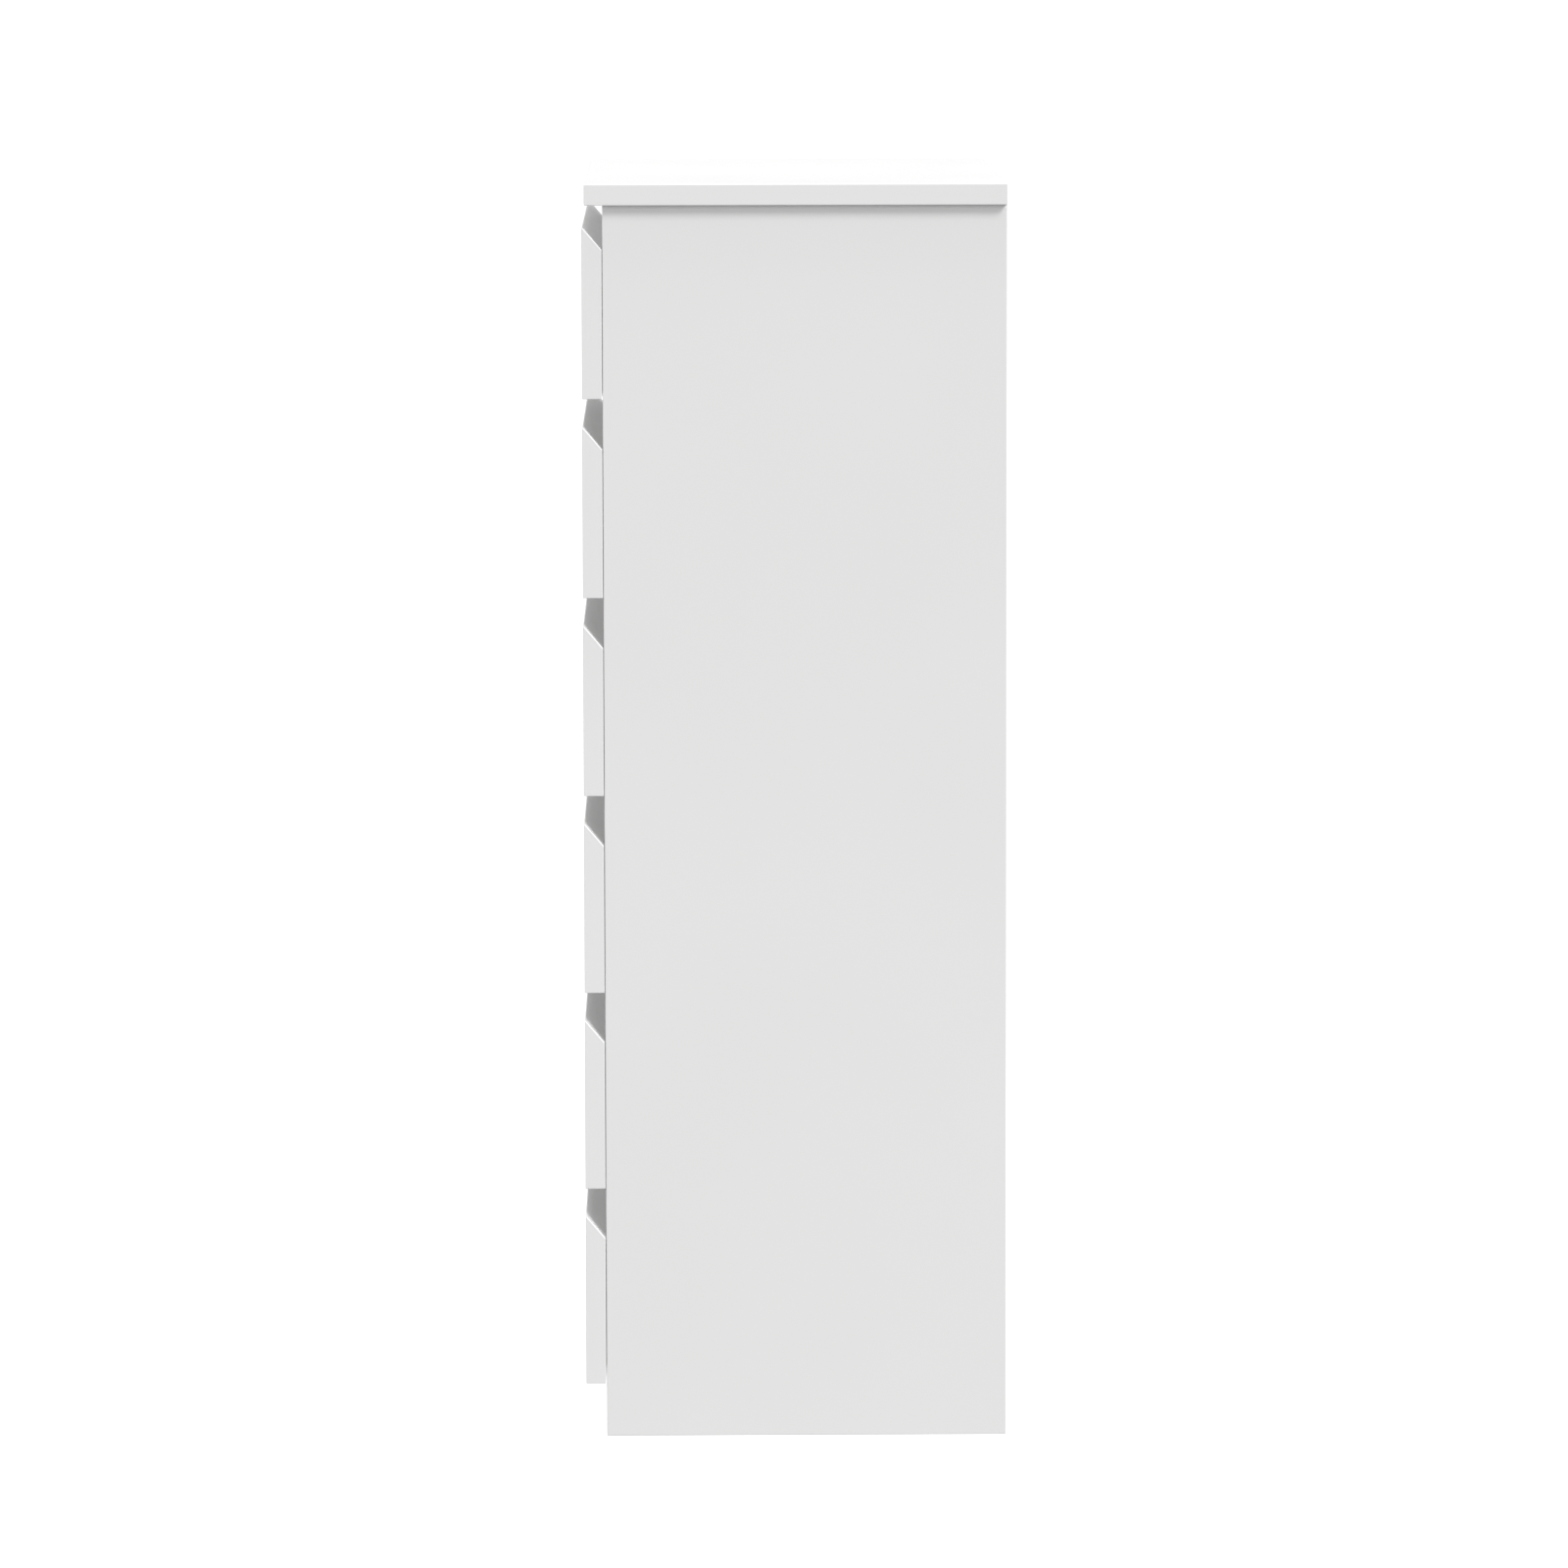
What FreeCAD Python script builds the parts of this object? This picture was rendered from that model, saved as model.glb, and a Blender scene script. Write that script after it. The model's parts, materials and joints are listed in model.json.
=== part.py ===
import FreeCAD, Part
import os
import Sketcher

# Tall chest of drawers made of flat boards. +X is the right side, -Y the front, +Z up.
# The origin is on the floor, under the middle of the chest. All sizes are in millimetres.

driving = {
    "height": 1200,
    "top_width": 620,
    "top_depth": 400,
    "top_thickness": 20,
    "top_overhang": 10,          # past each side panel
    "front_proud": 2.5,          # drawer fronts stand this far in front of the top's edge
    "side_thickness": 18,
    "board_thickness": 16,       # bottom, plinth and top rails
    "drawer_count": 6,
    "front_thickness": 19,
    "front_gap": 0.8,            # between a closed front and the side panel's edge
    "finger_gap": 26,            # above each lower front
    "head_gap": 20.3,            # above the top front
    "base_height": 51,           # below the lowest front
    "bevel_drop": 22,            # fall of the grip bevel through a front's thickness
    "edge_radius": 0.8,          # eased edges of the fronts and the top
    "bottom_setback": 20,        # from the side panel's front edge to the bottom panel
    "plinth_setback": 30,
    "rail_width": 70,
    "rail_setback": 40,
    "back_thickness": 3,
    "back_inset": 12,            # from the side panel's rear edge to the back panel
    "groove_depth": 6,
    "groove_play": 0.2,          # on each face of a board in its groove
    "drawer_board": 12,          # drawer sides and back
    "drawer_rise": 12,           # from a front's underside to its drawer side
    "side_drop": 11,             # from the bevel's low edge to the drawer side's top
    "floor_thickness": 3,
    "floor_rise": 10,            # from the drawer side's underside to its floor
    "runner_space": 12.7,        # between the drawer side and the side panel
    "runner_step": 50,           # runners are made in steps of this length
    "runner_height": 45,
    "runner_sheet": 1.2,
    "runner_setback": 2,
    "runner_end_room": 4,
    "runner_overlap": 90,        # still engaged when a drawer is fully out
    "runner_rise": 40,           # from the drawer side's underside to the runner's middle
    "lip_room": 2.7,             # from the cabinet member's lips to the drawer side
    "cage_sheet": 0.8,
    "cage_offset": 4.2,          # from the side panel to the cage's plate
    "plate_room": 1,             # from the cage's plate to the drawer member's lips
    "arm_room": 0.5,             # from the end of a cage's arm to the cabinet member's lips
    "cage_end_room": 3,
    "ball_radius": 1.9,
    "ball_play": 0.25,           # between a ball and the member above or below it
    "ball_spacing": 14,
    "balls_in_row": 5,
    "bolt_radius": 3,
    "bolt_depth": 11,            # into the board that receives the bolt
    "cam_reach": 34,             # from the joint to the cam's centre
    "cam_radius": 7.5,
    "cam_depth": 12.5,
    "small_cam_reach": 24,
    "small_cam_radius": 6,
    "small_cam_depth": 9.5,
    "dowel_radius": 4,
    "small_dowel_radius": 3,
    "dowel_depth": 12,           # into each of the two boards
    "fastener_play": 0.1,
    "end_play": 0.5,
    "joint_inset": 45,           # from a board's edge to its first fastener
    "joint_pitch": 32,           # from a cam to the dowel beside it
    "screw_radius": 1.7,
    "screw_length": 10,
    "screw_head_radius": 3.5,
    "screw_head_height": 1.6,
    "long_screw_radius": 2,
    "long_screw_length": 34,
    "long_screw_head_radius": 4,
    "long_screw_head_height": 2.5,
    "screw_inset": 35,           # from a runner's end to its first screw
    "drawer_joint_inset": 20,    # from a drawer side's top, and from its floor, to a fastener
    "bracket_width": 40,
    "bracket_leg": 24,
    "bracket_drop": 28,
    "bracket_sheet": 2.5,
    "anchor_radius": 3.25,
    "bracket_screw_spacing": 24,
}

# Worked out from the driving dimensions, each from those above it.
derived = {
    "body_width": "dims.top_width - 2 * dims.top_overhang",
    "inner_width": "sizes.body_width - 2 * dims.side_thickness",
    "side_height": "dims.height - dims.top_thickness",
    "overall_depth": "dims.top_depth + dims.front_proud",
    "rear": "sizes.overall_depth / 2",
    "fronts_face": "-sizes.overall_depth / 2",
    "fronts_rear": "sizes.fronts_face + dims.front_thickness",
    "carcass_front": "sizes.fronts_rear + dims.front_gap",
    "carcass_depth": "sizes.rear - sizes.carcass_front",
    "back_face": "sizes.rear - dims.back_inset - dims.back_thickness",
    "board_rear": "sizes.back_face - dims.groove_play",
    "front_height": "(sizes.side_height - dims.head_gap - dims.base_height"
                    " - (dims.drawer_count - 1) * dims.finger_gap) / dims.drawer_count",
    "pitch": "sizes.front_height + dims.finger_gap",
    "bottom_underside": "dims.base_height - dims.board_thickness",
    "bottom_front": "sizes.carcass_front + dims.bottom_setback",
    "runner_start": "sizes.carcass_front + dims.runner_setback",
    "runner_length": "floor((sizes.board_rear - sizes.runner_start - dims.runner_end_room)"
                     " / dims.runner_step) * dims.runner_step",
    "runner_end": "sizes.runner_start + sizes.runner_length",
    "cage_length": "dims.runner_overlap - 2 * dims.cage_end_room",
    "cage_start": "sizes.runner_start + (sizes.runner_length - sizes.cage_length) / 2",
    "race_middle": "dims.runner_height / 2 - dims.runner_sheet - dims.ball_play - dims.ball_radius",
    "inner_half_height": "sizes.race_middle - dims.ball_radius - dims.ball_play",
    "outer_lip": "dims.runner_space - dims.lip_room",
    "inner_lip_offset": "dims.cage_offset + dims.cage_sheet + dims.plate_room",
    "ball_offset": "(sizes.inner_lip_offset + sizes.outer_lip) / 2",
    "drawer_width": "sizes.inner_width - 2 * dims.runner_space",
    "drawer_inside": "sizes.drawer_width - 2 * dims.drawer_board",
    "drawer_length": "sizes.runner_end - sizes.fronts_rear",
    "drawer_side_height": "sizes.front_height - dims.bevel_drop - dims.side_drop - dims.drawer_rise",
    "drawer_side_top": "dims.drawer_rise + sizes.drawer_side_height",
    "floor_level": "dims.drawer_rise + dims.floor_rise",
    "runner_level": "dims.drawer_rise + dims.runner_rise",
    "side_middle": "(sizes.body_width - dims.side_thickness) / 2",
}

doc = FreeCAD.newDocument("chest_of_drawers")
sub_parts = []


def make_values():
    """Fill the sheet with the driving dimensions and a variable set with what follows from them."""
    sheet = doc.addObject("Spreadsheet::Sheet", "dims")
    for row, (alias, value) in enumerate(driving.items(), start=1):
        sheet.set(f"A{row}", alias)
        sheet.set(f"B{row}", str(value))
        sheet.setAlias(f"B{row}", alias)
    doc.recompute()
    values = doc.addObject("App::VarSet", "sizes")
    for name, expression in derived.items():
        values.addProperty("App::PropertyFloat", name, "Derived")
        values.setExpression(name, expression)
        doc.recompute()
    return sheet


sheet = make_values()


def value_of(expression):
    """Return what an expression comes to now."""
    return float(sheet.evalExpression(expression))


def bind(thing, expressions):
    """Bind each named property of an object to an expression."""
    for name, expression in expressions.items():
        thing.setExpression(name, expression)
    return thing


def place(thing, x="0", y="0", z="0"):
    """Bind the three coordinates of an object's Placement."""
    return bind(thing, {"Placement.Base.x": x, "Placement.Base.y": y, "Placement.Base.z": z})


def box(name, size, corner):
    """Make a board from its sizes along X, Y and Z and its lowest corner."""
    board = doc.addObject("Part::Box", name)
    bind(board, dict(zip(("Length", "Width", "Height"), size)))
    return place(board, *corner)


turns = {
    "x": FreeCAD.Rotation(FreeCAD.Vector(0, 1, 0), 90),
    "y": FreeCAD.Rotation(FreeCAD.Vector(1, 0, 0), -90),
    "z": FreeCAD.Rotation(),
}


def rod(name, radius, length, start, axis):
    """Make a cylinder that runs from its start point along +X, +Y or +Z."""
    cylinder = doc.addObject("Part::Cylinder", name)
    cylinder.Placement.Rotation = turns[axis]
    bind(cylinder, {"Radius": radius, "Height": length})
    return place(cylinder, *start)


def shifted(point, axis, distance):
    """Return a point with one of its coordinates moved on by a distance."""
    moved = list(point)
    index = "xyz".index(axis)
    moved[index] = f"({moved[index]}) + ({distance})"
    return tuple(moved)


def group(name, members):
    """Hold several solids in one object, each still a solid of its own."""
    compound = doc.addObject("Part::Compound", name)
    compound.Links = members
    return compound


def mirror(name, source):
    """Mirror an object from the right side to the left."""
    copy = doc.addObject("Part::Mirroring", name)
    copy.Source = source
    copy.Normal = FreeCAD.Vector(1, 0, 0)
    return copy


def both_sides(name, members):
    """Group a right side's pieces with their mirrored copies."""
    right = group(f"{name}_right", members)
    return group(name, [right, mirror(f"{name}_left", right)])


def cut(name, board, tools):
    """Take the tools' space out of a board."""
    result = doc.addObject("Part::Cut", name)
    result.Base = board
    result.Tool = tools[0] if len(tools) == 1 else group(f"{name}_tools", tools)
    return result


def fuse(name, members):
    """Join pieces that touch; those that stand apart stay separate solids."""
    result = doc.addObject("Part::MultiFuse", name)
    result.Shapes = members
    return result


def sub_part(thing, label, lift=None):
    """Name a finished sub-part, and lift it to its drawer's level."""
    thing.Label = label
    if lift:
        thing.setExpression("Placement.Base.z", lift)
    sub_parts.append(thing)
    return thing


def origin_plane(body, role):
    """Return one of a body's own origin planes."""
    return next(feature for feature in body.Origin.OriginFeatures if feature.Role == role)


def profile(name, plane, corners, length, reverse=False):
    """Make a body whose outline, a closed chain of straight edges, is padded along the plane's normal."""
    body = doc.addObject("PartDesign::Body", name)
    sketch = body.newObject("Sketcher::SketchObject", f"{name}_outline")
    sketch.AttachmentSupport = (origin_plane(body, plane), [""])
    sketch.MapMode = "FlatFace"
    points = [FreeCAD.Vector(value_of(a), value_of(b), 0) for a, b in corners]
    for start, end in zip(points, points[1:] + points[:1]):
        sketch.addGeometry(Part.LineSegment(start, end), False)
    for index, corner in enumerate(corners):
        after = (index + 1) % len(corners)
        sketch.addConstraint(Sketcher.Constraint("Coincident", index, 2, after, 1))
        for kind, expression in zip(("DistanceX", "DistanceY"), corner):
            place_of = Sketcher.Constraint(kind, -1, 1, index, 1, value_of(expression))
            number = sketch.addConstraint(place_of)
            sketch.setExpression(f"Constraints[{number}]", expression)
    pad = body.newObject("PartDesign::Pad", f"{name}_pad")
    pad.Profile = sketch
    pad.Reversed = reverse
    pad.setExpression("Length", length)
    doc.recompute()
    return body


def ease_edges(body):
    """Round every edge of a padded body by the same small radius."""
    pad = body.Tip
    rounding = body.newObject("PartDesign::Fillet", f"{body.Name}_edges")
    rounding.Base = (pad, [""])
    rounding.UseAllEdges = True
    rounding.setExpression("Radius", "dims.edge_radius")
    doc.recompute()
    return body


def cam_joint(name, seam, axis, towards, cam_start, cam_axis, small=False):
    """Make one cam lock: a bolt across the seam, and the cam that its inner end sits in.

    The bolt's threaded end goes into the board on the `towards` side of the seam, and the cam
    is let into the face of the other board, where cam_start is the middle of its mouth.
    """
    size = "small_cam" if small else "cam"
    reach = f"dims.{size}_reach"
    back = f"-{reach}" if towards == "+" else "-dims.bolt_depth"
    start = shifted(seam, axis, back)
    hole_start = shifted(start, axis, "-dims.end_play")
    length = f"{reach} + dims.bolt_depth"
    hole_length = f"{length} + 2 * dims.end_play"
    bolt = rod(f"{name}_bolt", "dims.bolt_radius", length, start, axis)
    hole = rod(f"{name}_hole", "dims.bolt_radius + dims.fastener_play", hole_length, hole_start, axis)
    blank = rod(f"{name}_blank", f"dims.{size}_radius", f"dims.{size}_depth", cam_start, cam_axis)
    pocket_radius = f"dims.{size}_radius + dims.fastener_play"
    pocket = rod(f"{name}_pocket", pocket_radius, f"dims.{size}_depth", cam_start, cam_axis)
    cam = cut(f"{name}_cam", blank, [hole])
    return {"pieces": [bolt, cam], "hole": hole, "pocket": pocket}


def dowel(name, seam, axis, small=False):
    """Make one dowel that goes equally far into the boards on both sides of the seam."""
    size = "small_dowel" if small else "dowel"
    start = shifted(seam, axis, "-dims.dowel_depth")
    hole_start = shifted(start, axis, "-dims.end_play")
    length = "2 * dims.dowel_depth"
    pin = rod(f"{name}_pin", f"dims.{size}_radius", length, start, axis)
    hole_radius = f"dims.{size}_radius + dims.fastener_play"
    hole = rod(f"{name}_hole", hole_radius, f"{length} + 2 * dims.end_play", hole_start, axis)
    return {"pieces": [pin], "hole": hole}


def countersunk(name, kind, start, axis):
    """Make a screw's conical head, which widens from the shank's radius towards + on its axis."""
    cone = doc.addObject("Part::Cone", name)
    cone.Placement.Rotation = turns[axis]
    bind(cone, {"Radius1": f"dims.{kind}_radius", "Radius2": f"dims.{kind}_head_radius"})
    bind(cone, {"Height": f"dims.{kind}_head_height"})
    return place(cone, *start)


def screw(name, kind, head_start, axis, towards, sunk=False):
    """Make one screw whose head starts at head_start and whose shank points `towards` (+ or -).

    A sunk head is a cone let into the board, and its shank points towards -.
    """
    head_height = f"dims.{kind}_head_height"
    shank_length = f"dims.{kind}_length"
    if towards == "+":
        head_base = head_start
        shank_start = shifted(head_start, axis, head_height)
        hole_start = shank_start
    else:
        head_base = shifted(head_start, axis, f"-{head_height}")
        shank_start = shifted(head_base, axis, f"-{shank_length}")
        hole_start = shifted(shank_start, axis, "-dims.end_play")
    if sunk:
        head = countersunk(f"{name}_head", kind, head_base, axis)
    else:
        head = rod(f"{name}_head", f"dims.{kind}_head_radius", head_height, head_base, axis)
    shank = rod(f"{name}_shank", f"dims.{kind}_radius", shank_length, shank_start, axis)
    hole_radius = f"dims.{kind}_radius + dims.fastener_play"
    hole = rod(f"{name}_hole", hole_radius, f"{shank_length} + dims.end_play", hole_start, axis)
    return {"pieces": [fuse(f"{name}_screw", [head, shank])], "hole": hole, "seat": head}


def joint_places(near, far):
    """Return the coordinates of a cam and of the dowel beside it, at both ends of a seam."""
    return {
        "cam_near": f"({near}) + dims.joint_inset",
        "dowel_near": f"({near}) + dims.joint_inset + dims.joint_pitch",
        "dowel_far": f"({far}) - dims.joint_inset - dims.joint_pitch",
        "cam_far": f"({far}) - dims.joint_inset",
    }


def runner_screw_places():
    """Return the Y coordinates of a runner's three screws."""
    return [
        "sizes.runner_start + dims.screw_inset",
        "(sizes.runner_start + sizes.runner_end) / 2",
        "sizes.runner_end - dims.screw_inset",
    ]


def drawer_level(number):
    """Return the height of a drawer front's underside; number 1 is the top drawer."""
    return f"dims.base_height + (dims.drawer_count - {number}) * sizes.pitch"


def channel(name, web, lip, half_height, thickness, ends, level):
    """Make a C-shaped strip of sheet along Y: its web's outer face is at x = web, its lips reach x = lip."""
    start, end = ends
    inward = "-" if value_of(web) > value_of(lip) else "+"
    inside = f"{web} {inward} {thickness}"
    corners = [
        (web, f"-({half_height})"),
        (lip, f"-({half_height})"),
        (lip, f"-({half_height}) + {thickness}"),
        (inside, f"-({half_height}) + {thickness}"),
        (inside, f"{half_height} - {thickness}"),
        (lip, f"{half_height} - {thickness}"),
        (lip, half_height),
        (web, half_height),
    ]
    strip = profile(name, "XZ_Plane", corners, f"({end}) - ({start})", reverse=True)
    return place(strip, y=start, z=level)


def carcass_joints():
    """Make the right side panel's cam locks and dowels, grouped by the board that they hold."""
    seam = "sizes.inner_width / 2"
    cam_x = f"{seam} - dims.cam_reach"
    rows = joint_places("sizes.bottom_front", "sizes.board_rear")
    rail_middles = {
        "front_rail": "sizes.carcass_front + dims.rail_setback + dims.rail_width / 2",
        "rear_rail": "sizes.board_rear - dims.rail_width / 2",
    }
    joints = {"top": [], "bottom": [], "plinth": [], "rails": []}
    for where, y in rows.items():
        top_seam = ("sizes.side_middle", y, "sizes.side_height")
        bottom_seam = (seam, y, "sizes.bottom_underside + dims.board_thickness / 2")
        if where.startswith("cam"):
            mouth = (seam, y, "sizes.side_height - dims.cam_reach")
            joints["top"].append(cam_joint(f"top_{where}", top_seam, "z", "+", mouth, "x"))
            mouth = (cam_x, y, "sizes.bottom_underside")
            joints["bottom"].append(cam_joint(f"bottom_{where}", bottom_seam, "x", "+", mouth, "z"))
        else:
            joints["top"].append(dowel(f"top_{where}", top_seam, "z"))
            joints["bottom"].append(dowel(f"bottom_{where}", bottom_seam, "x"))
    rail_level = "sizes.side_height - dims.board_thickness / 2"
    rail_mouth = "sizes.side_height - dims.board_thickness"
    for where, y in rail_middles.items():
        half = "dims.joint_pitch / 2"
        cam_y = f"{y} - {half}"
        cam = cam_joint(f"{where}_cam", (seam, cam_y, rail_level), "x", "+", (cam_x, cam_y, rail_mouth), "z")
        pin = dowel(f"{where}_dowel", (seam, f"{y} + {half}", rail_level), "x")
        joints["rails"] += [cam, pin]
    plinth_y = "sizes.carcass_front + dims.plinth_setback"
    plinth_seam = (seam, f"{plinth_y} + dims.board_thickness / 2", "sizes.bottom_underside / 2")
    mouth_y = f"{plinth_y} + dims.board_thickness - dims.cam_depth"
    mouth = (cam_x, mouth_y, "sizes.bottom_underside / 2")
    joints["plinth"].append(cam_joint("plinth_cam", plinth_seam, "x", "+", mouth, "y"))
    return joints


def holes_of(joints):
    """Return the holes that a list of joints needs in every board that they pass through."""
    return [joint["hole"] for joint in joints]


def pockets_of(joints):
    """Return the cam pockets among a list of joints."""
    return [joint["pocket"] for joint in joints if "pocket" in joint]


def pieces_of(joints, index):
    """Return the bolts and pins (index 0) or the cams (index 1) among a list of joints."""
    return [joint["pieces"][index] for joint in joints if len(joint["pieces"]) > index]


def cabinet_runners():
    """Make the right side's cabinet members, one at each drawer's level, with their screws."""
    seam = "sizes.inner_width / 2"
    members = []
    screws = []
    runner_ends = ("sizes.runner_start", "sizes.runner_end")
    for number in drawer_numbers:
        level = f"{drawer_level(number)} + sizes.runner_level"
        strip = channel(f"cabinet_strip_{number}", seam, f"{seam} - sizes.outer_lip",
                        "dims.runner_height / 2", "dims.runner_sheet", runner_ends, level)
        head_start = f"{seam} - dims.runner_sheet - dims.screw_head_height"
        row = [
            screw(f"cabinet_screw_{number}_{index}", "screw", (head_start, y, level), "x", "+")
            for index, y in enumerate(runner_screw_places())
        ]
        members.append(cut(f"cabinet_member_{number}", strip, holes_of(row)))
        screws += row
    sub_part(both_sides("cabinet_members", members), "cabinet_runners")
    return screws


def side_panels(joints, screws):
    """Make the two side panels, grooved for the back panel and drilled for all that they hold."""
    seam = "sizes.inner_width / 2"
    size = ("dims.side_thickness", "sizes.carcass_depth", "sizes.side_height")
    board = box("side_board", size, (seam, "sizes.carcass_front", "0"))
    groove_size = (
        "dims.groove_depth",
        "dims.back_thickness + 2 * dims.groove_play",
        "sizes.side_height - sizes.bottom_underside",
    )
    groove_corner = (seam, "sizes.back_face - dims.groove_play", "sizes.bottom_underside")
    groove = box("side_groove", groove_size, groove_corner)
    every_joint = sum(joints.values(), [])
    tools = [groove] + holes_of(every_joint) + pockets_of(joints["top"]) + holes_of(screws)
    right = cut("side_panel_right", board, tools)
    sub_part(right, "side_panel_right")
    sub_part(mirror("side_panel_left", right), "side_panel_left")


def top_panel(joints):
    """Make the top with its eased edges; it lies on the side panels and overhangs them."""
    half = "dims.top_width / 2"
    front = "sizes.fronts_face + dims.front_proud"
    corners = [(f"-{half}", front), (half, front), (half, "sizes.rear"), (f"-{half}", "sizes.rear")]
    slab = ease_edges(profile("top_slab", "XY_Plane", corners, "dims.top_thickness"))
    place(slab, z="sizes.side_height")
    holes = both_sides("top_holes", holes_of(joints["top"]))
    sub_part(cut("top_panel", slab, [holes]), "top_panel")


def bottom_panel(joints):
    """Make the carcass bottom, held between the side panels in front of the back panel."""
    size = ("sizes.inner_width", "sizes.board_rear - sizes.bottom_front", "dims.board_thickness")
    corner = ("-sizes.inner_width / 2", "sizes.bottom_front", "sizes.bottom_underside")
    board = box("bottom_board", size, corner)
    drilling = both_sides("bottom_drilling", holes_of(joints["bottom"]) + pockets_of(joints["bottom"]))
    sub_part(cut("bottom_panel", board, [drilling]), "bottom_panel")


def plinth_rail(joints):
    """Make the rail that stands on the floor under the bottom panel, set back from the front."""
    size = ("sizes.inner_width", "dims.board_thickness", "sizes.bottom_underside")
    corner = ("-sizes.inner_width / 2", "sizes.carcass_front + dims.plinth_setback", "0")
    board = box("plinth_board", size, corner)
    drilling = both_sides("plinth_drilling", holes_of(joints["plinth"]) + pockets_of(joints["plinth"]))
    sub_part(cut("plinth_rail", board, [drilling]), "plinth_rail")


def top_rails(joints, bracket_screws):
    """Make the two flat rails under the top, one near the front and one at the rear."""
    size = ("sizes.inner_width", "dims.rail_width", "dims.board_thickness")
    fronts = {
        "front": "sizes.carcass_front + dims.rail_setback",
        "rear": "sizes.board_rear - dims.rail_width",
    }
    drilling = both_sides("rail_drilling", holes_of(joints["rails"]) + pockets_of(joints["rails"]))
    level = "sizes.side_height - dims.board_thickness"
    rails = []
    for where, y in fronts.items():
        board = box(f"{where}_rail_board", size, ("-sizes.inner_width / 2", y, level))
        rails.append(cut(f"{where}_rail", board, [drilling] + holes_of(bracket_screws)))
    sub_part(group("top_rails", rails), "top_rails")


def back_panel(anchor_hole):
    """Make the thin back, which slides down the side panels' grooves and has the wall screw's hole."""
    size = (
        "sizes.inner_width + 2 * (dims.groove_depth - dims.groove_play)",
        "dims.back_thickness",
        "sizes.side_height - sizes.bottom_underside - 2 * dims.groove_play",
    )
    left = "-sizes.inner_width / 2 - dims.groove_depth + dims.groove_play"
    board = box("back_board", size, (left, "sizes.back_face", "sizes.bottom_underside + dims.groove_play"))
    sub_part(cut("back_panel", board, [anchor_hole]), "back_panel")


def wall_bracket():
    """Make the angle bracket under the rear rail, its two screws and the hole for the wall screw."""
    under = "sizes.side_height - dims.board_thickness"
    foot = f"{under} - dims.bracket_drop"
    corners = [
        ("sizes.back_face", under),
        ("sizes.back_face", foot),
        ("sizes.back_face - dims.bracket_sheet", foot),
        ("sizes.back_face - dims.bracket_sheet", f"{under} - dims.bracket_sheet"),
        ("sizes.back_face - dims.bracket_leg", f"{under} - dims.bracket_sheet"),
        ("sizes.back_face - dims.bracket_leg", under),
    ]
    angle = profile("bracket_angle", "YZ_Plane", corners, "dims.bracket_width")
    place(angle, x="-dims.bracket_width / 2")
    hole_level = f"{under} - (dims.bracket_drop + dims.bracket_sheet) / 2"
    hole_start = ("0", "sizes.back_face - dims.bracket_leg", hole_level)
    hole = rod("anchor_hole", "dims.anchor_radius", "dims.bracket_leg + dims.back_thickness", hole_start, "y")
    screw_y = "sizes.back_face - (dims.bracket_leg + dims.bracket_sheet) / 2"
    screw_z = f"{under} - dims.bracket_sheet - dims.screw_head_height"
    screw_x = {"left": "-dims.bracket_screw_spacing / 2", "right": "dims.bracket_screw_spacing / 2"}
    screws = [
        screw(f"bracket_screw_{side}", "screw", (x, screw_y, screw_z), "z", "+")
        for side, x in screw_x.items()
    ]
    sub_part(cut("wall_bracket", angle, [hole] + holes_of(screws)), "wall_bracket")
    return hole, screws


def drawer_fastenings():
    """Make the fasteners of a drawer's right side, in the drawer's own frame."""
    side_middle = "(sizes.drawer_width - dims.drawer_board) / 2"
    outer_face = "sizes.drawer_width / 2"
    high = "sizes.drawer_side_top - dims.drawer_joint_inset"
    low = "sizes.floor_level + dims.drawer_joint_inset"
    mouth = (f"{outer_face} - dims.small_cam_depth", "sizes.fronts_rear + dims.small_cam_reach", high)
    front_seam = (side_middle, "sizes.fronts_rear", high)
    cam = cam_joint("drawer_cam", front_seam, "y", "-", mouth, "x", small=True)
    pin = dowel("drawer_dowel", (side_middle, "sizes.fronts_rear", low), "y", small=True)
    back_middle = "sizes.runner_end - dims.drawer_board / 2"
    back_screws = [
        screw(f"drawer_back_{where}", "long_screw", (outer_face, back_middle, z), "x", "-", sunk=True)
        for where, z in (("high", high), ("low", low))
    ]
    head_start = f"{outer_face} + dims.runner_sheet + dims.screw_head_height"
    runner_screws = [
        screw(f"drawer_runner_{index}", "screw", (head_start, y, "sizes.runner_level"), "x", "-")
        for index, y in enumerate(runner_screw_places())
    ]
    return {"front": [cam, pin], "back": back_screws, "runner": runner_screws}


def drawer_front(fastenings):
    """Make a front: its top is bevelled down towards the back, which is the grip, and its edges are eased."""
    corners = [
        ("sizes.fronts_face", "0"),
        ("sizes.fronts_rear", "0"),
        ("sizes.fronts_rear", "sizes.front_height - dims.bevel_drop"),
        ("sizes.fronts_face", "sizes.front_height"),
    ]
    board = ease_edges(profile("front_board", "YZ_Plane", corners, "sizes.body_width"))
    place(board, x="-sizes.body_width / 2")
    groove = floor_groove("front_groove", "sizes.drawer_inside + 2 * dims.groove_depth", "dims.groove_depth",
                          "sizes.fronts_rear - dims.groove_depth")
    holes = both_sides("front_holes", holes_of(fastenings["front"]))
    return cut("front_master", board, [groove, holes])


def floor_groove(name, width, length, start):
    """Make the space of the groove that holds a drawer's floor, centred on the drawer."""
    size = (width, length, "dims.floor_thickness + 2 * dims.groove_play")
    return box(name, size, (f"-({width}) / 2", start, "sizes.floor_level - dims.groove_play"))


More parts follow.
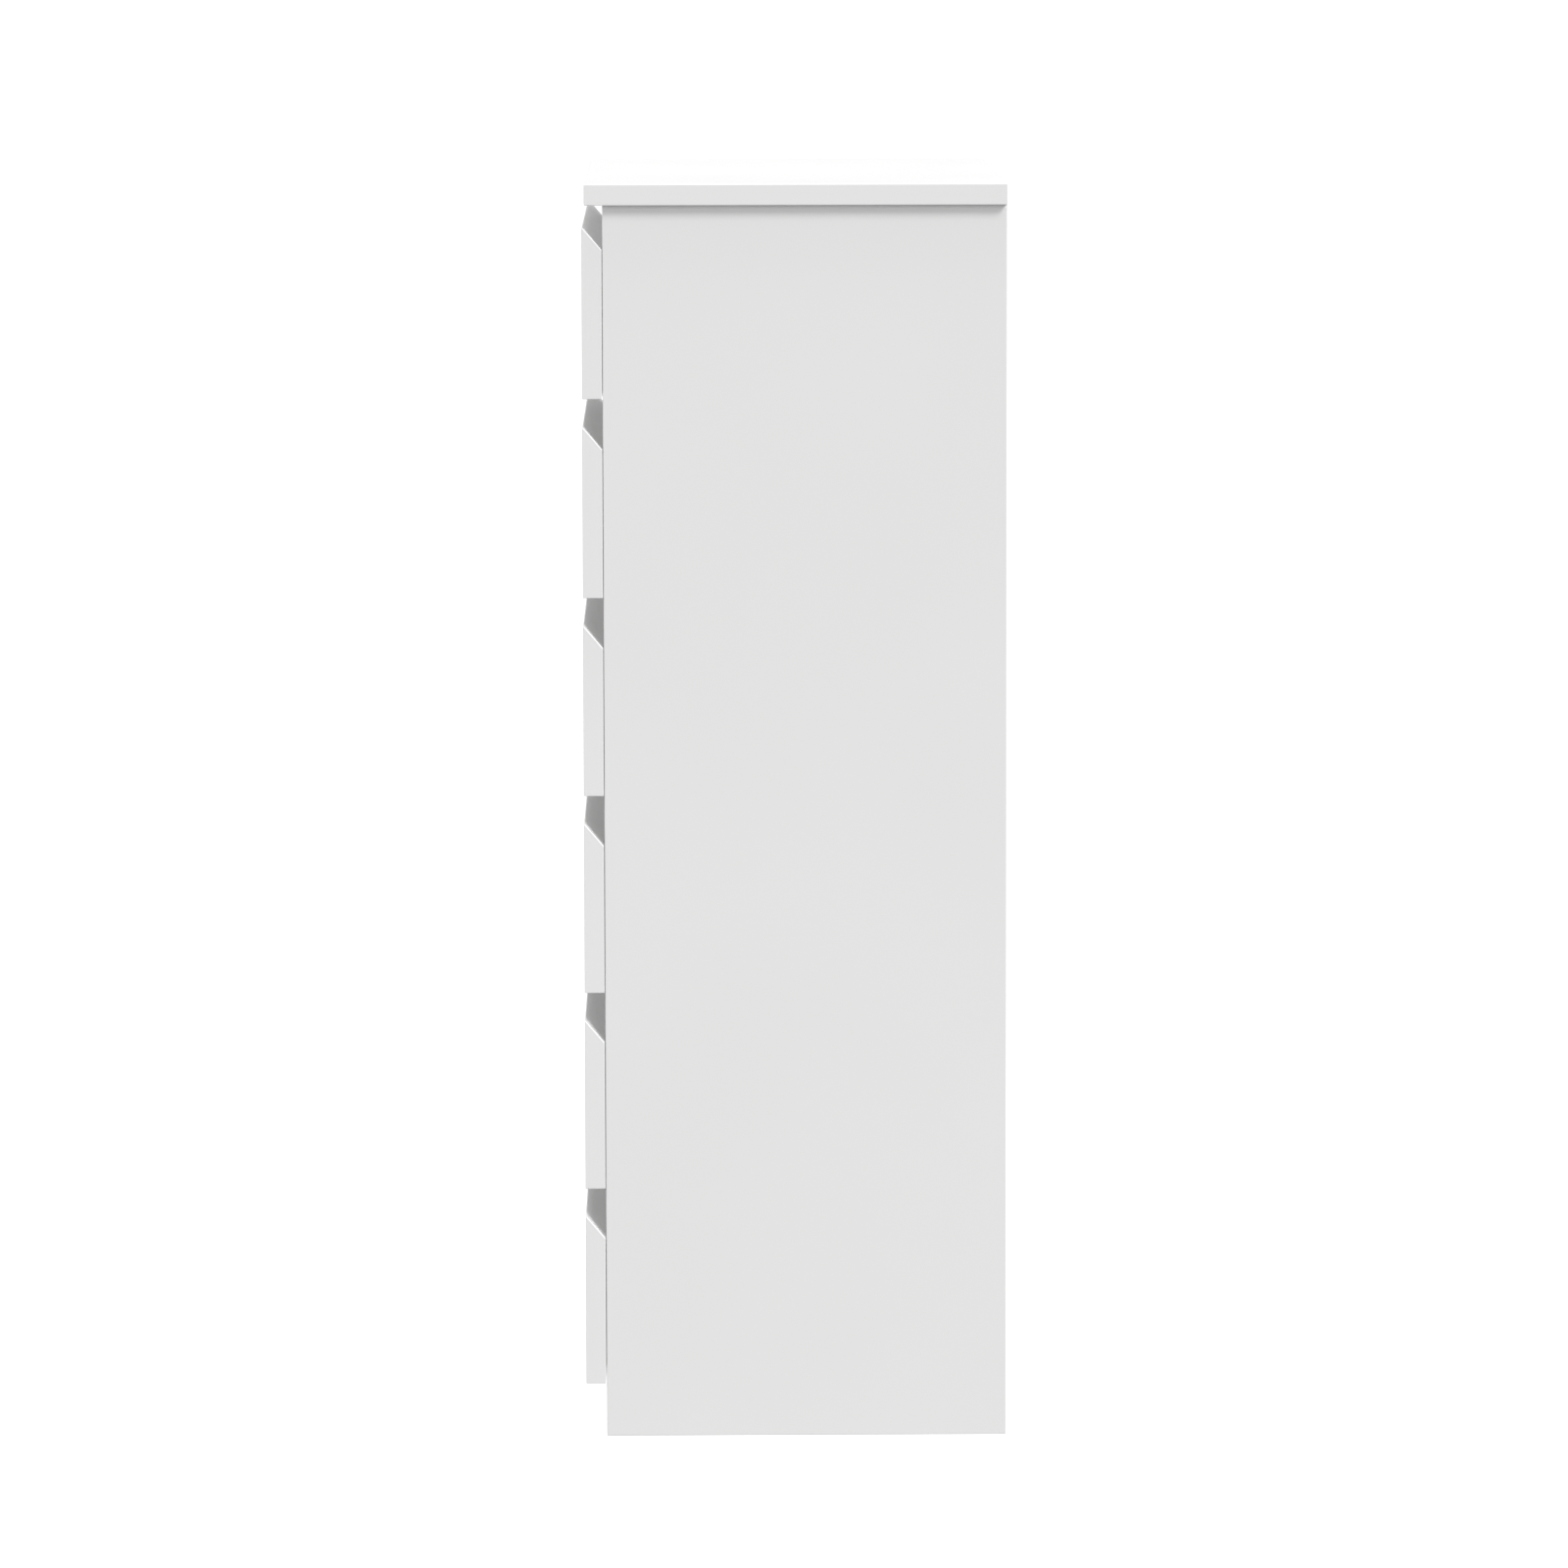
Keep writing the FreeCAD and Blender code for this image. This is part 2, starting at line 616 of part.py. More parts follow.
def drawer_side(fastenings):
    """Make a drawer's right side, grooved for its floor."""
    size = ("dims.drawer_board", "sizes.drawer_length", "sizes.drawer_side_height")
    corner = ("sizes.drawer_inside / 2", "sizes.fronts_rear", "dims.drawer_rise")
    board = box("drawer_side_board", size, corner)
    groove = floor_groove("side_floor_groove", "sizes.drawer_inside + 2 * dims.groove_depth",
                          "sizes.drawer_length", "sizes.fronts_rear")
    every_fastening = sum(fastenings.values(), [])
    seats = [fastening["seat"] for fastening in fastenings["back"]]
    tools = [groove] + holes_of(every_fastening) + pockets_of(fastenings["front"]) + seats
    return cut("side_master", board, tools)


def drawer_back(fastenings):
    """Make a drawer's back, which stands on the floor between the sides."""
    underside = "sizes.floor_level + dims.floor_thickness + dims.groove_play"
    size = ("sizes.drawer_inside", "dims.drawer_board", f"sizes.drawer_side_top - ({underside})")
    corner = ("-sizes.drawer_inside / 2", "sizes.runner_end - dims.drawer_board", underside)
    holes = both_sides("back_holes", holes_of(fastenings["back"]))
    return cut("back_master", box("drawer_back_board", size, corner), [holes])


def drawer_floor():
    """Make a drawer's thin floor, which fills the grooves of the front and the sides but for their play."""
    reach = "(dims.groove_depth - dims.groove_play)"
    size = (f"sizes.drawer_inside + 2 * {reach}", f"sizes.drawer_length + {reach}", "dims.floor_thickness")
    return box("floor_master", size, (f"-sizes.drawer_inside / 2 - {reach}", f"sizes.fronts_rear - {reach}",
                                      "sizes.floor_level"))


def drawer_runner_members(fastenings):
    """Make the two strips screwed to a drawer's sides."""
    web = "sizes.drawer_width / 2"
    lip = "sizes.inner_width / 2 - sizes.inner_lip_offset"
    strip = channel("drawer_strip", web, lip, "sizes.inner_half_height", "dims.runner_sheet",
                    ("sizes.runner_start", "sizes.runner_end"), "sizes.runner_level")
    return both_sides("runner_master", [cut("drawer_member", strip, holes_of(fastenings["runner"]))])


def ball_cages():
    """Make the two ball cages of a drawer: a C-shaped cage with a row of balls in each arm."""
    web = "sizes.inner_width / 2 - dims.cage_offset"
    ends = ("sizes.cage_start", "sizes.cage_start + sizes.cage_length")
    arm_end = "sizes.inner_width / 2 - sizes.outer_lip + dims.arm_room"
    strip = channel("cage_strip", web, arm_end, "sizes.race_middle + dims.cage_sheet / 2",
                    "dims.cage_sheet", ends, "sizes.runner_level")
    ball_x = "sizes.inner_width / 2 - sizes.ball_offset"
    reach = "sizes.race_middle + dims.ball_radius"
    hole_radius = "dims.ball_radius + dims.fastener_play"
    holes = []
    balls = []
    for index in range(int(value_of("dims.balls_in_row"))):
        offset = f"({index} - (dims.balls_in_row - 1) / 2) * dims.ball_spacing"
        y = f"sizes.cage_start + sizes.cage_length / 2 + {offset}"
        start = (ball_x, y, f"sizes.runner_level - ({reach})")
        holes.append(rod(f"ball_hole_{index}", hole_radius, f"2 * ({reach})", start, "z"))
        for row, sign in (("upper", "+"), ("lower", "-")):
            ball = bind(doc.addObject("Part::Sphere", f"ball_{row}_{index}"), {"Radius": "dims.ball_radius"})
            balls.append(place(ball, ball_x, y, f"sizes.runner_level {sign} sizes.race_middle"))
    return both_sides("cage_master", [cut("cage", strip, holes)] + balls)


def make_drawers():
    """Make one drawer's pieces, then place a copy of each at every drawer's level."""
    fastenings = drawer_fastenings()
    right_side = drawer_side(fastenings)
    every_piece = sum((fastening["pieces"] for row in fastenings.values() for fastening in row), [])
    masters = {
        "front": drawer_front(fastenings),
        "side_right": right_side,
        "side_left": mirror("side_left_master", right_side),
        "back": drawer_back(fastenings),
        "floor": drawer_floor(),
        "runners": drawer_runner_members(fastenings),
        "ball_cages": ball_cages(),
        "fasteners": both_sides("fasteners_master", every_piece),
    }
    for number in drawer_numbers:
        for piece, master in masters.items():
            label = f"drawer_{number}_{piece}"
            sub_part(group(label, [master]), label, lift=drawer_level(number))


def make_carcass():
    """Make the fixed pieces."""
    joints = carcass_joints()
    runner_screws = cabinet_runners()
    anchor_hole, bracket_screws = wall_bracket()
    side_panels(joints, runner_screws)
    top_panel(joints)
    bottom_panel(joints)
    plinth_rail(joints)
    top_rails(joints, bracket_screws)
    back_panel(anchor_hole)
    every_joint = sum(joints.values(), [])
    cams = [joint for joint in every_joint if "pocket" in joint]
    pins = [joint for joint in every_joint if "pocket" not in joint]
    locks = both_sides("lock_set", pieces_of(cams, 0) + pieces_of(cams, 1))
    sub_part(locks, "carcass_cam_locks")
    sub_part(both_sides("pin_set", pieces_of(pins, 0)), "carcass_dowels")
    runner_set = both_sides("runner_screw_set", pieces_of(runner_screws, 0))
    sub_part(group("screw_set", [runner_set] + pieces_of(bracket_screws, 0)), "carcass_screws")


def check_and_write():
    """Stop on any failed object or empty or invalid shape, then write each sub-part to its file."""
    doc.recompute()
    failed = [item.Name for item in doc.Objects if {"Invalid", "Error"} & set(item.State)]
    if failed:
        raise RuntimeError(f"these objects did not build: {failed}")
    for thing in sub_parts:
        if thing.Shape.isNull() or not thing.Shape.isValid() or not thing.Shape.Solids:
            raise RuntimeError(f"{thing.Label} has no valid solid")
    os.makedirs("parts", exist_ok=True)
    for thing in sub_parts:
        thing.Shape.exportStep(f"parts/{thing.Label}.step")
        print(f"{thing.Label}: {len(thing.Shape.Solids)} solids, {thing.Shape.Volume / 1000:.1f} cm3")


drawer_numbers = range(1, int(value_of("dims.drawer_count")) + 1)
make_carcass()
make_drawers()
check_and_write()
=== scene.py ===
import json
import math

import bmesh
import bpy
import numpy as np
from mathutils import Matrix, Vector

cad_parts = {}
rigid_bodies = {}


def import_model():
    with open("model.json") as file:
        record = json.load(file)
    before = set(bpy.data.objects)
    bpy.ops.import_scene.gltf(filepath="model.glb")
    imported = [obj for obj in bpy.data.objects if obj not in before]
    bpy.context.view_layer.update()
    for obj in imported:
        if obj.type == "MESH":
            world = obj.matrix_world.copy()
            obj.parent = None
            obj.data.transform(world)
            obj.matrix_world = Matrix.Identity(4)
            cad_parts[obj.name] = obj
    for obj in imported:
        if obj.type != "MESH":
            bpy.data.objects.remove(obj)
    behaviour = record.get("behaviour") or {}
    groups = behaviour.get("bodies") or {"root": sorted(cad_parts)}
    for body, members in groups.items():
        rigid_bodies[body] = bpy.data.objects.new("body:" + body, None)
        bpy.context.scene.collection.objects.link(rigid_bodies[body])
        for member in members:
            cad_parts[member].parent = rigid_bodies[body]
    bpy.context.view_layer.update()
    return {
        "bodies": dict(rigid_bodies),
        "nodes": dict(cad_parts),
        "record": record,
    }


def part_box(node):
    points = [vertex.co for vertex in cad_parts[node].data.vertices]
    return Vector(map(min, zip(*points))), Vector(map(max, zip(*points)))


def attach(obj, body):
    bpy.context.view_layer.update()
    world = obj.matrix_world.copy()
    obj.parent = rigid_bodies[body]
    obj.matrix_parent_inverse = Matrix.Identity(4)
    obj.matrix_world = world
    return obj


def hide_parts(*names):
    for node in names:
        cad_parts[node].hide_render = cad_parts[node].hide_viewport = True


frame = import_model()
nodes = frame["nodes"]
slotOfNode = {name: node.material_slots[0].material.name for name, node in nodes.items()}
bodyOfNode = {name: body for body, names in frame["record"]["behaviour"]["bodies"].items() for name in names}
drawers = [body for body in frame["bodies"] if body.startswith("drawer_")]
print("frame loaded:", len(nodes), "nodes and", len(drawers), "drawers")


# ---- shader maths: a socket that can stand in a Python expression ----
class Wire:
    def __init__(self, paint, socket):
        self.paint = paint
        self.socket = socket

    def maths(self, operation, first, second):
        return self.paint.node("ShaderNodeMath", {"operation": operation}, {0: first, 1: second})

    def __add__(self, other):
        return self.maths("ADD", self, other)

    def __mul__(self, other):
        return self.maths("MULTIPLY", self, other)

    def __gt__(self, other):
        return self.maths("GREATER_THAN", self, other)

    def __lt__(self, other):
        return self.maths("LESS_THAN", self, other)

    __radd__ = __add__


class Paint:
    def __init__(self, name):
        self.material = bpy.data.materials.new(name)
        self.material.use_nodes = True
        self.tree = self.material.node_tree
        self.tree.nodes.clear()

    # one call for any node: its type, its settings, then the values or links of its sockets
    def node(self, kind, settings=None, sockets=None, output=0):
        made = self.tree.nodes.new(kind)
        for name, value in (settings or {}).items():
            setattr(made, name, value)
        for name, value in (sockets or {}).items():
            if isinstance(value, Wire):
                self.tree.links.new(value.socket, made.inputs[name])
            else:
                made.inputs[name].default_value = value
        return None if output is None else Wire(self, made.outputs[output])

    # outputs 3 and 1 of the coordinate node are the place and the normal, both in the part's own frame
    def place(self):
        return self.node("ShaderNodeTexCoord", output=3)

    def facing(self, axis):
        normal = self.node("ShaderNodeTexCoord", output=1)
        return self.node("ShaderNodeSeparateXYZ", None, {0: normal}, axis)

    def along(self, axis):
        return self.node("ShaderNodeSeparateXYZ", None, {0: self.place()}, axis)

    # noise with its own scale on each axis, in features per metre
    def grain(self, scale, detail=2.0, roughness=0.5):
        mapped = self.node("ShaderNodeMapping", None, {"Vector": self.place(), "Scale": scale})
        values = {"Vector": mapped, "Scale": 1.0, "Detail": detail, "Roughness": roughness}
        return self.node("ShaderNodeTexNoise", None, values)

    # spreads the middle of a noise over 0 to 1
    def spread(self, value, middle):
        values = {"Value": value, "From Min": middle[0], "From Max": middle[1]}
        return self.node("ShaderNodeMapRange", None, values)

    # the two colours are sockets 6 and 7 of the mix node when it works on colours
    def mix(self, factor, first, second):
        colours = {"Factor": factor}
        for socket, colour in ((6, first), (7, second)):
            colours[socket] = colour if isinstance(colour, Wire) else (*colour, 1.0)
        return self.node("ShaderNodeMix", {"data_type": "RGBA"}, colours, 2)

    def bump(self, height, distance):
        return self.node("ShaderNodeBump", None, {"Height": height, "Distance": distance, "Strength": 1.0})

    def finish(self, sockets):
        shader = self.node("ShaderNodeBsdfPrincipled", None, sockets)
        self.node("ShaderNodeOutputMaterial", None, {"Surface": shader}, None)
        return self.material


# ---- finishes ----
whiteFace = {
    "tone": (0.795, 0.795, 0.794),
    "duller": (0.780, 0.780, 0.778),
    "patches": (3.0, 3.0, 3.0),    # per metre
    "patchMiddle": (0.3, 0.7),
    "peel": (900.0, 900.0, 900.0),   # the fine texture of the sprayed face, per metre
    "peelDepth": 0.000012,
    "roughness": 0.36,
    "roughnessSpread": 0.12,
    "rawRougher": 0.4,             # what the raw chipboard adds
}


# the white face, and a mask that shows the raw chipboard where it is 1
def whiteBoardPaint(name, rawMask=None):
    paint = Paint(name)
    patches = paint.spread(paint.grain(whiteFace["patches"], detail=4.0), whiteFace["patchMiddle"])
    peel = paint.grain(whiteFace["peel"])
    colour = paint.mix(patches, whiteFace["tone"], whiteFace["duller"])
    roughness = whiteFace["roughness"] + patches * whiteFace["roughnessSpread"]
    height = peel
    if rawMask:
        raw = rawMask(paint)
        chipColour, chipHeight = chipboard(paint)
        colour = paint.mix(raw, colour, chipColour)
        roughness = roughness + raw * whiteFace["rawRougher"]
        height = peel + raw * chipHeight * rawEdge["depth"]
    normal = paint.bump(height, whiteFace["peelDepth"])
    return paint.finish({"Base Color": colour, "Roughness": roughness, "Normal": normal})


rawEdge = {
    "light": (0.66, 0.52, 0.36),
    "dark": (0.36, 0.25, 0.15),
    "chipsPerMetre": 420.0,
    "chipStretch": (1.0, 1.0, 0.45),   # chips are longer up and down
    "chipShare": 0.7,              # of the tone, and the fibres make the rest
    "fibres": (900.0, 900.0, 250.0),
    "depth": 12.0,                 # chips stand this many times deeper than the face's texture
    "skin": 0.0004,                # how close to the board's back or foot the raw edge starts
    "squarely": 0.9,               # how straight it faces there, so the eased arrises stay white
}


def chipboard(paint):
    stretch = {"Vector": paint.place(), "Scale": rawEdge["chipStretch"]}
    place = paint.node("ShaderNodeMapping", None, stretch)
    scale = rawEdge["chipsPerMetre"]
    cells = paint.node("ShaderNodeTexVoronoi", None, {"Vector": place, "Scale": scale}, 1)
    chips = paint.node("ShaderNodeSeparateXYZ", None, {0: cells}, 0)
    fibres = paint.grain(rawEdge["fibres"], detail=3.0)
    tone = chips * rawEdge["chipShare"] + fibres * (1.0 - rawEdge["chipShare"])
    return paint.mix(tone, rawEdge["dark"], rawEdge["light"]), chips


# side panels have no edge band at the back and at the foot
def rawBackAndFoot(paint):
    low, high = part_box("side_panel_right")
    back = (paint.along(1) > high[1] - rawEdge["skin"]) * (paint.facing(1) > rawEdge["squarely"])
    foot = (paint.along(2) < low[2] + rawEdge["skin"]) * (paint.facing(2) < -rawEdge["squarely"])
    return back + foot


drawerFoil = {
    "tone": (0.770, 0.772, 0.770),
    "duller": (0.730, 0.732, 0.730),
    "threadsAcross": (1300.0, 60.0, 60.0),   # the linen pressed into the foil, per metre
    "threadsBack": (60.0, 1300.0, 300.0),
    "depth": 0.00002,
    "patches": (5.0, 5.0, 5.0),
    "patchMiddle": (0.3, 0.7),
    "roughness": 0.50,
    "roughnessSpread": 0.1,
}


def drawerFoilPaint():
    paint = Paint("drawerFoil")
    across = paint.grain(drawerFoil["threadsAcross"], detail=1.0)
    threads = across + paint.grain(drawerFoil["threadsBack"], detail=1.0)
    patches = paint.spread(paint.grain(drawerFoil["patches"], detail=4.0), drawerFoil["patchMiddle"])
    return paint.finish({
        "Base Color": paint.mix(patches, drawerFoil["tone"], drawerFoil["duller"]),
        "Roughness": drawerFoil["roughness"] + patches * drawerFoil["roughnessSpread"],
        "Normal": paint.bump(threads, drawerFoil["depth"]),
    })


hardboard = {
    "white": (0.785, 0.785, 0.778),
    "whiteDuller": (0.755, 0.755, 0.745),
    "bare": ((0.39, 0.275, 0.17), (0.52, 0.385, 0.25)),
    "sealed": ((0.50, 0.49, 0.47), (0.60, 0.59, 0.57)),   # the floors' undersides, thinly sealed in grey
    "fibres": (420.0, 420.0, 420.0),
    "clouds": (7.0, 7.0, 7.0),
    "cloudMiddle": (0.3, 0.7),
    "fibreShare": 0.65,            # of the reverse's tone, and the clouds make the rest
    "roughness": 0.48,
    "rawRoughness": 0.80,
    "roughnessSpread": 0.08,
    "depth": 0.00006,
    "paintedDepth": 0.15,          # how much of the depth the paint lets through
    "squarely": 0.5,               # how straight the reverse faces away
}


# painted white on the face towards the inside, fibres on the reverse, which faces along sign times the axis
def hardboardPaint(name, axis, sign, dark, light):
    paint = Paint(name)
    reverse = paint.facing(axis) * sign > hardboard["squarely"]
    fibres = paint.grain(hardboard["fibres"], detail=6.0, roughness=0.62)
    clouds = paint.grain(hardboard["clouds"], detail=5.0, roughness=0.6)
    clouds = paint.spread(clouds, hardboard["cloudMiddle"])
    tone = fibres * hardboard["fibreShare"] + clouds * (1.0 - hardboard["fibreShare"])
    bare = paint.mix(tone, dark, light)
    painted = paint.mix(clouds, hardboard["white"], hardboard["whiteDuller"])
    roughness = hardboard["roughness"] + reverse * (hardboard["rawRoughness"] - hardboard["roughness"])
    height = fibres * (hardboard["paintedDepth"] + reverse * (1.0 - hardboard["paintedDepth"]))
    return paint.finish({
        "Base Color": paint.mix(reverse, painted, bare),
        "Roughness": roughness + fibres * hardboard["roughnessSpread"],
        "Normal": paint.bump(height, hardboard["depth"]),
    })


platedSteel = {
    "tone": (0.66, 0.67, 0.69),
    "warm": (0.62, 0.60, 0.57),
    "rolling": (900.0, 6.0, 900.0),   # marks run front to back, per metre
    "bloom": (35.0, 12.0, 35.0),
    "bloomMiddle": (0.35, 0.7),
    "roughness": 0.30,
    "markRougher": 0.18,
    "bloomRougher": 0.08,
    "depth": 0.00002,
}


def platedSteelPaint():
    paint = Paint("zincPlatedSteel")
    marks = paint.grain(platedSteel["rolling"], detail=4.0)
    bloom = paint.spread(paint.grain(platedSteel["bloom"], detail=4.0), platedSteel["bloomMiddle"])
    rougher = marks * platedSteel["markRougher"] + bloom * platedSteel["bloomRougher"]
    return paint.finish({
        "Base Color": paint.mix(bloom, platedSteel["tone"], platedSteel["warm"]),
        "Metallic": 1.0,
        "Roughness": platedSteel["roughness"] + rougher,
        "Normal": paint.bump(marks, platedSteel["depth"]),
    })


bearingSteel = {
    "tone": (0.70, 0.71, 0.72),
    "greasy": (0.52, 0.50, 0.46),
    "smear": (260.0, 90.0, 260.0),   # a thin film of grease, per metre
    "smearMiddle": (0.35, 0.7),
    "roughness": 0.10,
    "smearRougher": 0.18,
}


def bearingSteelPaint():
    paint = Paint("bearingSteel")
    smear = paint.spread(paint.grain(bearingSteel["smear"], detail=3.0), bearingSteel["smearMiddle"])
    return paint.finish({
        "Base Color": paint.mix(smear, bearingSteel["tone"], bearingSteel["greasy"]),
        "Metallic": 1.0,
        "Roughness": bearingSteel["roughness"] + smear * bearingSteel["smearRougher"],
    })


castZinc = {
    "tone": (0.66, 0.66, 0.67),
    "dull": (0.54, 0.54, 0.55),
    "skin": (2600.0, 2600.0, 2600.0),   # the die's fine texture, per metre
    "patches": (300.0, 300.0, 300.0),
    "patchMiddle": (0.3, 0.7),
    "roughness": 0.32,
    "dullRougher": 0.18,
    "depth": 0.00003,
}


def castZincPaint():
    paint = Paint("castZinc")
    skin = paint.grain(castZinc["skin"], detail=3.0)
    dull = paint.spread(paint.grain(castZinc["patches"], detail=3.0), castZinc["patchMiddle"])
    return paint.finish({
        "Base Color": paint.mix(dull, castZinc["tone"], castZinc["dull"]),
        "Metallic": 1.0,
        "Roughness": castZinc["roughness"] + dull * castZinc["dullRougher"],
        "Normal": paint.bump(skin, castZinc["depth"]),
    })


beech = {
    "dark": (0.62, 0.42, 0.25),
    "light": (0.78, 0.60, 0.42),
    "fleck": (0.42, 0.25, 0.14),
    "rings": (60.0, 420.0, 420.0),   # per metre, along the dowels, which lie left to right
    "flecks": (500.0, 1800.0, 1800.0),
    "fleckMiddle": (0.62, 0.72),
    "fleckShare": 0.5,
    "roughness": 0.62,
    "roughnessSpread": 0.1,
    "depth": 0.00005,
}


def beechPaint():
    paint = Paint("beech")
    rings = paint.grain(beech["rings"], detail=4.0, roughness=0.6)
    flecks = paint.spread(paint.grain(beech["flecks"]), beech["fleckMiddle"])
    wood = paint.mix(rings, beech["dark"], beech["light"])
    return paint.finish({
        "Base Color": paint.mix(flecks * beech["fleckShare"], wood, beech["fleck"]),
        "Roughness": beech["roughness"] + rings * beech["roughnessSpread"],
        "Normal": paint.bump(rings, beech["depth"]),
    })


paintOf = {
    "white_board": whiteBoardPaint("whiteBoard"),
    "sidePanel": whiteBoardPaint("whiteBoardRawBack", rawBackAndFoot),
    "drawer_board": drawerFoilPaint(),
    "thin_board": hardboardPaint("hardboardFloor", 2, -1.0, *hardboard["sealed"]),
    "backPanel": hardboardPaint("hardboardBack", 1, 1.0, *hardboard["bare"]),
    "runner_steel": platedSteelPaint(),
    "bearing_steel": bearingSteelPaint(),
    "zinc": castZincPaint(),
    "beech": beechPaint(),
}
print("finishes made:", len(paintOf))


def addPiece(name, mesh, node, paint=None):
    piece = bpy.data.objects.new(name, mesh)
    bpy.context.collection.objects.link(piece)
    mesh.materials.clear()
    mesh.materials.append(paint or paintOf[slotOfNode[node]])
    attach(piece, bodyOfNode[node])
    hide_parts(node)
    return piece


# ---- boards with eased arrises ----
# A convex outline in the Y-Z plane is carried along X. For a turn u round the outline and a tilt v,
# place = core(u) + radius * normal(u, v), where the core is the outline moved in by the radius and
# normal = (sin v, cos v * cos u, cos v * sin u). Each corner and each end is so a piece of a ball or rod.
def easedBoard(name, outline, start, end, radius, steps=4):
    outline = np.array(outline)
    side = np.roll(outline, -1, axis=0) - outline
    out = np.stack([side[:, 1], -side[:, 0]], axis=1) / np.linalg.norm(side, axis=1)[:, None]
    reach = (out * outline).sum(axis=1) - radius
    before = np.roll(out, 1, axis=0)
    reaches = np.stack([np.roll(reach, 1), reach], axis=1)
    core = np.linalg.solve(np.stack([before, out], axis=1), reaches[..., None])[..., 0]
    first = np.arctan2(before[:, 1], before[:, 0])
    turning = np.mod(np.arctan2(out[:, 1], out[:, 0]) - first, 2 * np.pi)
    u = (first[:, None] + turning[:, None] * np.linspace(0, 1, steps + 1)).ravel()
    coreAround = np.repeat(core, steps + 1, axis=0)
    quarter = np.linspace(0, np.pi / 2, steps + 1)
    tilt = np.concatenate([-quarter[::-1], quarter])
    middle = np.repeat([start + radius, end - radius], steps + 1)
    uGrid, tiltGrid = np.meshgrid(u, tilt)
    around = np.cos(tiltGrid)
    normal = np.stack([np.sin(tiltGrid), around * np.cos(uGrid), around * np.sin(uGrid)], axis=2)
    spine = np.zeros(normal.shape)
    spine[..., 0] = middle[:, None]
    spine[..., 1:] = coreAround[None]
    places = (spine + radius * normal).reshape(-1, 3)
    return closedSheet(name, places, normal.reshape(-1, 3), len(tilt), len(u))


# Joins a rows-by-columns grid round its columns, closes its first and last rows, and merges places
# that are equal to the seventh decimal of a metre. Faces with fewer than three places left are dropped.
def closedSheet(name, places, normals, rows, columns):
    grid = np.arange(rows * columns).reshape(rows, columns)
    right = np.roll(grid, -1, axis=1)
    quads = np.stack([grid[:-1], right[:-1], right[1:], grid[1:]], axis=2).reshape(-1, 4)
    found = np.unique(np.round(places, 7), axis=0, return_index=True, return_inverse=True)
    kept = found[1]
    same = found[2].ravel()
    faces = [list(dict.fromkeys(face)) for face in same[quads].tolist()]
    faces += [list(dict.fromkeys(same[ends].tolist())) for ends in (grid[0, ::-1], grid[-1])]
    mesh = bpy.data.meshes.new(name)
    mesh.from_pydata(places[kept], [], [face for face in faces if len(face) > 2])
    mesh.polygons.foreach_set("use_smooth", np.ones(len(mesh.polygons), dtype=bool))
    mesh.normals_split_custom_set_from_vertices(normals[kept].tolist())
    return mesh


arris = {
    "top": 0.0010,
    "front": 0.0008,
    "bevelDrop": 0.022,            # how far a front's upper edge slopes down towards the drawer
}


def makeTop():
    low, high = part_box("top_panel")
    outline = [(low[1], low[2]), (high[1], low[2]), (high[1], high[2]), (low[1], high[2])]
    mesh = easedBoard("topBoard", outline, low[0], high[0], arris["top"])
    addPiece("topBoard", mesh, "top_panel")


# The rounded tip of the sloped edge is lower than the sharp one would be, by
# radius * (slope + sqrt(1 + slope squared) - 1).
def makeFront(drawer):
    node = drawer + "_front"
    low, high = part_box(node)
    slope = arris["bevelDrop"] / (high[1] - low[1])
    tip = high[2] + arris["front"] * (slope + math.hypot(1, slope) - 1)
    outline = [(low[1], low[2]), (high[1], low[2]), (high[1], tip - arris["bevelDrop"]), (low[1], tip)]
    mesh = easedBoard(drawer + "_frontBoard", outline, low[0], high[0], arris["front"])
    return addPiece(mesh.name, mesh, node)


makeTop()
frontBoards = [makeFront(drawer) for drawer in drawers]
print("top and fronts made")


# ---- boards and hardware that keep their holes ----
boardEdges = {
    "width": 0.0005,
    "sideWidth": 0.0008,           # on the side panels
    "underTop": 4.5,               # this many times wider where their faces meet the top, a dark groove
    "segments": 2,
    "double": 0.000002,            # places closer than this are one
    "flatness": 0.5,               # degrees, under which triangles are joined into one face
    "smoothUnder": 32.0,           # degrees
    "onSide": 0.00001,             # how near a side of the box counts as on it
    "evenness": 100,               # how much wide faces outweigh narrow ones in the shading
}


# A clean copy of a CAD node: doubles merged and flat triangles joined.
def cleanCopy(node, name):
    mesh = nodes[node].data.copy()
    mesh.name = name
    work = bmesh.new()
    work.from_mesh(mesh)
    bmesh.ops.remove_doubles(work, verts=work.verts, dist=boardEdges["double"])
    flat = math.radians(boardEdges["flatness"])
    bmesh.ops.dissolve_limit(work, angle_limit=flat, verts=work.verts, edges=work.edges)
    work.to_mesh(mesh)
    work.free()
    mesh.polygons.foreach_set("use_smooth", np.ones(len(mesh.polygons), dtype=bool))
    mesh.set_sharp_from_angle(angle=math.radians(boardEdges["smoothUnder"]))
    return mesh


